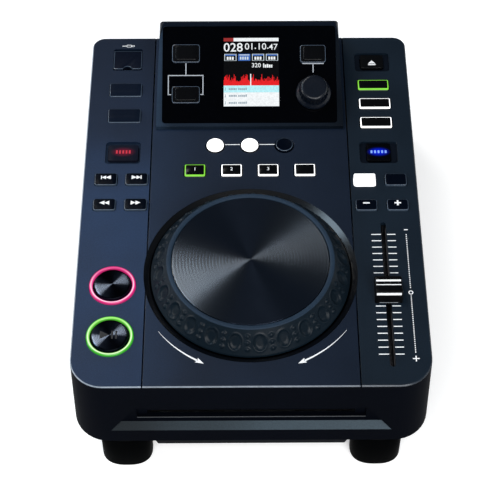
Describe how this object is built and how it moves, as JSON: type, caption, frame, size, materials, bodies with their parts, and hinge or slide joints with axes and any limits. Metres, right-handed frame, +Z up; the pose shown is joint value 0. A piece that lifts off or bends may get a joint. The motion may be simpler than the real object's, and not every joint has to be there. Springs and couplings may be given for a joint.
{
  "type": "tabletop disc player",
  "caption": "Tabletop disc player for DJs: front disc slot, large jog wheel, sloping display pod with a knob, pitch fader, lit keys, rear sockets and a slot drive inside.",
  "frame": {"origin": "on the table under the middle of the whole object", "axes": "+X to the user's right, +Y to the rear, +Z up; the front face looks along -Y"},
  "size_m": [0.2172, 0.2922, 0.1201],
  "materials": {
    "case_plastic": "near-black, fine texture",
    "deck_plastic": "dark slate blue, satin",
    "deck_plastic_right": "dark slate blue, satin",
    "pod_plastic": "dark slate blue, satin",
    "chassis_steel": "dark grey powder coat",
    "drive_steel": "galvanised sheet",
    "foot_rubber": "matte black",
    "window_plastic": "gloss black",
    "lcd": "colour display",
    "spun_metal": "spun, dark anodised",
    "ring_plastic": "satin slate blue",
    "rim_rubber": "matte black",
    "bare_metal": "turned",
    "shaft_steel": "ground",
    "key_plastic": "satin black",
    "key_red": "red-lit",
    "key_blue": "blue-lit",
    "key_white": "white-lit",
    "light_ring": "frosted, lit",
    "button_metal": "spun, dark anodised",
    "cap_plastic": "satin black",
    "board": "green circuit board",
    "supply": "tan circuit board with its parts",
    "fader_metal": "plain",
    "jack_metal": "nickel plated",
    "socket_plastic": "black",
    "roller_rubber": "matte",
    "drive_plastic": "black"
  },
  "bodies": {
    "case": {"upper_case": "case_plastic", "deck_center": "deck_plastic", "deck_left": "deck_plastic", "deck_right": "deck_plastic_right", "bottom_chassis": "chassis_steel", "feet": "foot_rubber", "chassis_screws": "shaft_steel", "pod_housing": "pod_plastic", "pod_window": "window_plastic", "lcd_module": "lcd", "button_light_rings": "light_ring", "jog_bearing": "drive_plastic", "fader_body": "fader_metal", "control_boards": "board", "main_board": "board", "power_supply": "supply", "rear_jacks": "jack_metal", "power_inlet": "socket_plastic", "drive_frame": "drive_steel"},
    "jog_wheel": {"jog_hub": "bare_metal", "jog_top_disc": "spun_metal", "jog_ring": "ring_plastic", "jog_rim": "rim_rubber"},
    "fader": {"fader_cap": "cap_plastic"},
    "knob_shaft": {"encoder_shaft": "shaft_steel"},
    "knob": {"encoder_knob": "cap_plastic"},
    "port_cover": {"usb_cover": "key_plastic"},
    "rocker": {"power_rocker": "socket_plastic"},
    "roller": {"feed_roller": "roller_rubber"},
    "spindle": {"turntable": "drive_plastic"},
    "sled": {"pickup_sled": "drive_plastic"},
    "screw": {"lead_screw": "shaft_steel"},
    "browse": {"browse_button": "key_plastic"},
    "lock": {"lock_button": "key_plastic"},
    "back": {"back_button": "key_plastic"},
    "source": {"source_button": "key_plastic"},
    "playlist": {"playlist_button": "key_plastic"},
    "usb_stop": {"usb_stop_button": "key_red"},
    "track_back": {"track_back_button": "key_plastic"},
    "track_forward": {"track_forward_button": "key_plastic"},
    "search_back": {"search_back_button": "key_plastic"},
    "search_forward": {"search_forward_button": "key_plastic"},
    "cue": {"cue_button": "button_metal"},
    "play": {"play_button": "button_metal"},
    "loop_in": {"loop_in_button": "key_white"},
    "loop_out": {"loop_out_button": "key_white"},
    "reloop": {"reloop_button": "key_plastic"},
    "hot_cue_1": {"hot_cue_1_button": "key_plastic"},
    "hot_cue_2": {"hot_cue_2_button": "key_plastic"},
    "hot_cue_3": {"hot_cue_3_button": "key_plastic"},
    "hot_cue_store": {"hot_cue_store_button": "key_plastic"},
    "eject": {"eject_button": "key_plastic"},
    "tempo_range": {"tempo_range_button": "key_plastic"},
    "key_lock": {"key_lock_button": "key_plastic"},
    "jog_mode": {"jog_mode_button": "key_plastic"},
    "touch_mode": {"touch_mode_button": "key_blue"},
    "beat_sync": {"beat_sync_button": "key_white"},
    "tempo_reset": {"tempo_reset_button": "key_plastic"},
    "beat_minus": {"beat_minus_button": "key_plastic"},
    "beat_plus": {"beat_plus_button": "key_plastic"}
  },
  "joints": [
    {"name": "browse_press", "type": "slide", "parent": "case", "child": "browse", "axis": [0, 0.3746, -0.9272], "range_m": [0, 0.0009], "stiffness_N_per_m": 400, "springref_m": -0.0005},
    {"name": "lock_press", "type": "slide", "parent": "case", "child": "lock", "axis": [0, 0.3746, -0.9272], "range_m": [0, 0.0009], "stiffness_N_per_m": 400, "springref_m": -0.0005},
    {"name": "back_press", "type": "slide", "parent": "case", "child": "back", "axis": [0, 0.3746, -0.9272], "range_m": [0, 0.0009], "stiffness_N_per_m": 400, "springref_m": -0.0005},
    {"name": "source_press", "type": "slide", "parent": "case", "child": "source", "axis": [0, 0, -1], "range_m": [0, 0.001], "stiffness_N_per_m": 400, "springref_m": -0.0005},
    {"name": "playlist_press", "type": "slide", "parent": "case", "child": "playlist", "axis": [0, 0, -1], "range_m": [0, 0.001], "stiffness_N_per_m": 400, "springref_m": -0.0005},
    {"name": "usb_stop_press", "type": "slide", "parent": "case", "child": "usb_stop", "axis": [0, 0, -1], "range_m": [0, 0.001], "stiffness_N_per_m": 400, "springref_m": -0.0005},
    {"name": "track_back_press", "type": "slide", "parent": "case", "child": "track_back", "axis": [0, 0, -1], "range_m": [0, 0.001], "stiffness_N_per_m": 400, "springref_m": -0.0005},
    {"name": "track_forward_press", "type": "slide", "parent": "case", "child": "track_forward", "axis": [0, 0, -1], "range_m": [0, 0.001], "stiffness_N_per_m": 400, "springref_m": -0.0005},
    {"name": "search_back_press", "type": "slide", "parent": "case", "child": "search_back", "axis": [0, 0, -1], "range_m": [0, 0.001], "stiffness_N_per_m": 400, "springref_m": -0.0005},
    {"name": "search_forward_press", "type": "slide", "parent": "case", "child": "search_forward", "axis": [0, 0, -1], "range_m": [0, 0.001], "stiffness_N_per_m": 400, "springref_m": -0.0005},
    {"name": "cue_press", "type": "slide", "parent": "case", "child": "cue", "axis": [0, 0, -1], "range_m": [0, 0.0013], "stiffness_N_per_m": 400, "springref_m": -0.0005},
    {"name": "play_press", "type": "slide", "parent": "case", "child": "play", "axis": [0, 0, -1], "range_m": [0, 0.0013], "stiffness_N_per_m": 400, "springref_m": -0.0005},
    {"name": "loop_in_press", "type": "slide", "parent": "case", "child": "loop_in", "axis": [0, 0, -1], "range_m": [0, 0.001], "stiffness_N_per_m": 400, "springref_m": -0.0005},
    {"name": "loop_out_press", "type": "slide", "parent": "case", "child": "loop_out", "axis": [0, 0, -1], "range_m": [0, 0.001], "stiffness_N_per_m": 400, "springref_m": -0.0005},
    {"name": "reloop_press", "type": "slide", "parent": "case", "child": "reloop", "axis": [0, 0, -1], "range_m": [0, 0.001], "stiffness_N_per_m": 400, "springref_m": -0.0005},
    {"name": "hot_cue_1_press", "type": "slide", "parent": "case", "child": "hot_cue_1", "axis": [0, 0, -1], "range_m": [0, 0.001], "stiffness_N_per_m": 400, "springref_m": -0.0005},
    {"name": "hot_cue_2_press", "type": "slide", "parent": "case", "child": "hot_cue_2", "axis": [0, 0, -1], "range_m": [0, 0.001], "stiffness_N_per_m": 400, "springref_m": -0.0005},
    {"name": "hot_cue_3_press", "type": "slide", "parent": "case", "child": "hot_cue_3", "axis": [0, 0, -1], "range_m": [0, 0.001], "stiffness_N_per_m": 400, "springref_m": -0.0005},
    {"name": "hot_cue_store_press", "type": "slide", "parent": "case", "child": "hot_cue_store", "axis": [0, 0, -1], "range_m": [0, 0.001], "stiffness_N_per_m": 400, "springref_m": -0.0005},
    {"name": "eject_press", "type": "slide", "parent": "case", "child": "eject", "axis": [0, 0, -1], "range_m": [0, 0.001], "stiffness_N_per_m": 400, "springref_m": -0.0005},
    {"name": "tempo_range_press", "type": "slide", "parent": "case", "child": "tempo_range", "axis": [0, 0, -1], "range_m": [0, 0.001], "stiffness_N_per_m": 400, "springref_m": -0.0005},
    {"name": "key_lock_press", "type": "slide", "parent": "case", "child": "key_lock", "axis": [0, 0, -1], "range_m": [0, 0.001], "stiffness_N_per_m": 400, "springref_m": -0.0005},
    {"name": "jog_mode_press", "type": "slide", "parent": "case", "child": "jog_mode", "axis": [0, 0, -1], "range_m": [0, 0.001], "stiffness_N_per_m": 400, "springref_m": -0.0005},
    {"name": "touch_mode_press", "type": "slide", "parent": "case", "child": "touch_mode", "axis": [0, 0, -1], "range_m": [0, 0.001], "stiffness_N_per_m": 400, "springref_m": -0.0005},
    {"name": "beat_sync_press", "type": "slide", "parent": "case", "child": "beat_sync", "axis": [0, 0, -1], "range_m": [0, 0.001], "stiffness_N_per_m": 400, "springref_m": -0.0005},
    {"name": "tempo_reset_press", "type": "slide", "parent": "case", "child": "tempo_reset", "axis": [0, 0, -1], "range_m": [0, 0.001], "stiffness_N_per_m": 400, "springref_m": -0.0005},
    {"name": "beat_minus_press", "type": "slide", "parent": "case", "child": "beat_minus", "axis": [0, 0, -1], "range_m": [0, 0.001], "stiffness_N_per_m": 400, "springref_m": -0.0005},
    {"name": "beat_plus_press", "type": "slide", "parent": "case", "child": "beat_plus", "axis": [0, 0, -1], "range_m": [0, 0.001], "stiffness_N_per_m": 400, "springref_m": -0.0005},
    {"name": "jog_spin", "type": "hinge", "parent": "case", "child": "jog_wheel", "pos_m": [0, -0.062, 0.09], "axis": [0, 0, 1], "continuous": true},
    {"name": "fader_slide", "type": "slide", "parent": "case", "child": "fader", "axis": [0, 1, 0], "range_m": [-0.05, 0.05]},
    {"name": "knob_turn", "type": "hinge", "parent": "case", "child": "knob_shaft", "pos_m": [0.0423, 0.07586, 0.10068], "axis": [0, -0.3746, 0.9272], "continuous": true},
    {"name": "knob_push", "type": "slide", "parent": "knob_shaft", "child": "knob", "axis": [0, 0.3746, -0.9272], "range_m": [0, 0.0005], "stiffness_N_per_m": 500, "springref_m": -0.0005},
    {"name": "port_cover_hinge", "type": "hinge", "parent": "case", "child": "port_cover", "pos_m": [-0.0825, 0.1251, 0.0891], "axis": [-1, 0, 0], "range_deg": [0, 100]},
    {"name": "power_rocker_tilt", "type": "hinge", "parent": "case", "child": "rocker", "pos_m": [0.042, 0.1332, 0.06], "axis": [1, 0, 0], "range_deg": [0, 18]},
    {"name": "roller_turn", "type": "hinge", "parent": "case", "child": "roller", "pos_m": [0, -0.131, 0.0482], "axis": [1, 0, 0], "continuous": true},
    {"name": "turntable_spin", "type": "hinge", "parent": "case", "child": "spindle", "pos_m": [0, -0.066, 0.05], "axis": [0, 0, 1], "continuous": true},
    {"name": "sled_slide", "type": "slide", "parent": "case", "child": "sled", "axis": [0, 1, 0], "range_m": [0, 0.034]},
    {"name": "lead_screw_turn", "type": "hinge", "parent": "case", "child": "screw", "pos_m": [0.032, -0.02, 0.046], "axis": [0, 1, 0], "range_deg": [0, 4081]}
  ],
  "couplings": [
    {"joint": "lead_screw_turn", "follows": "sled_slide", "rad_per_m": 2094.4}
  ]
}
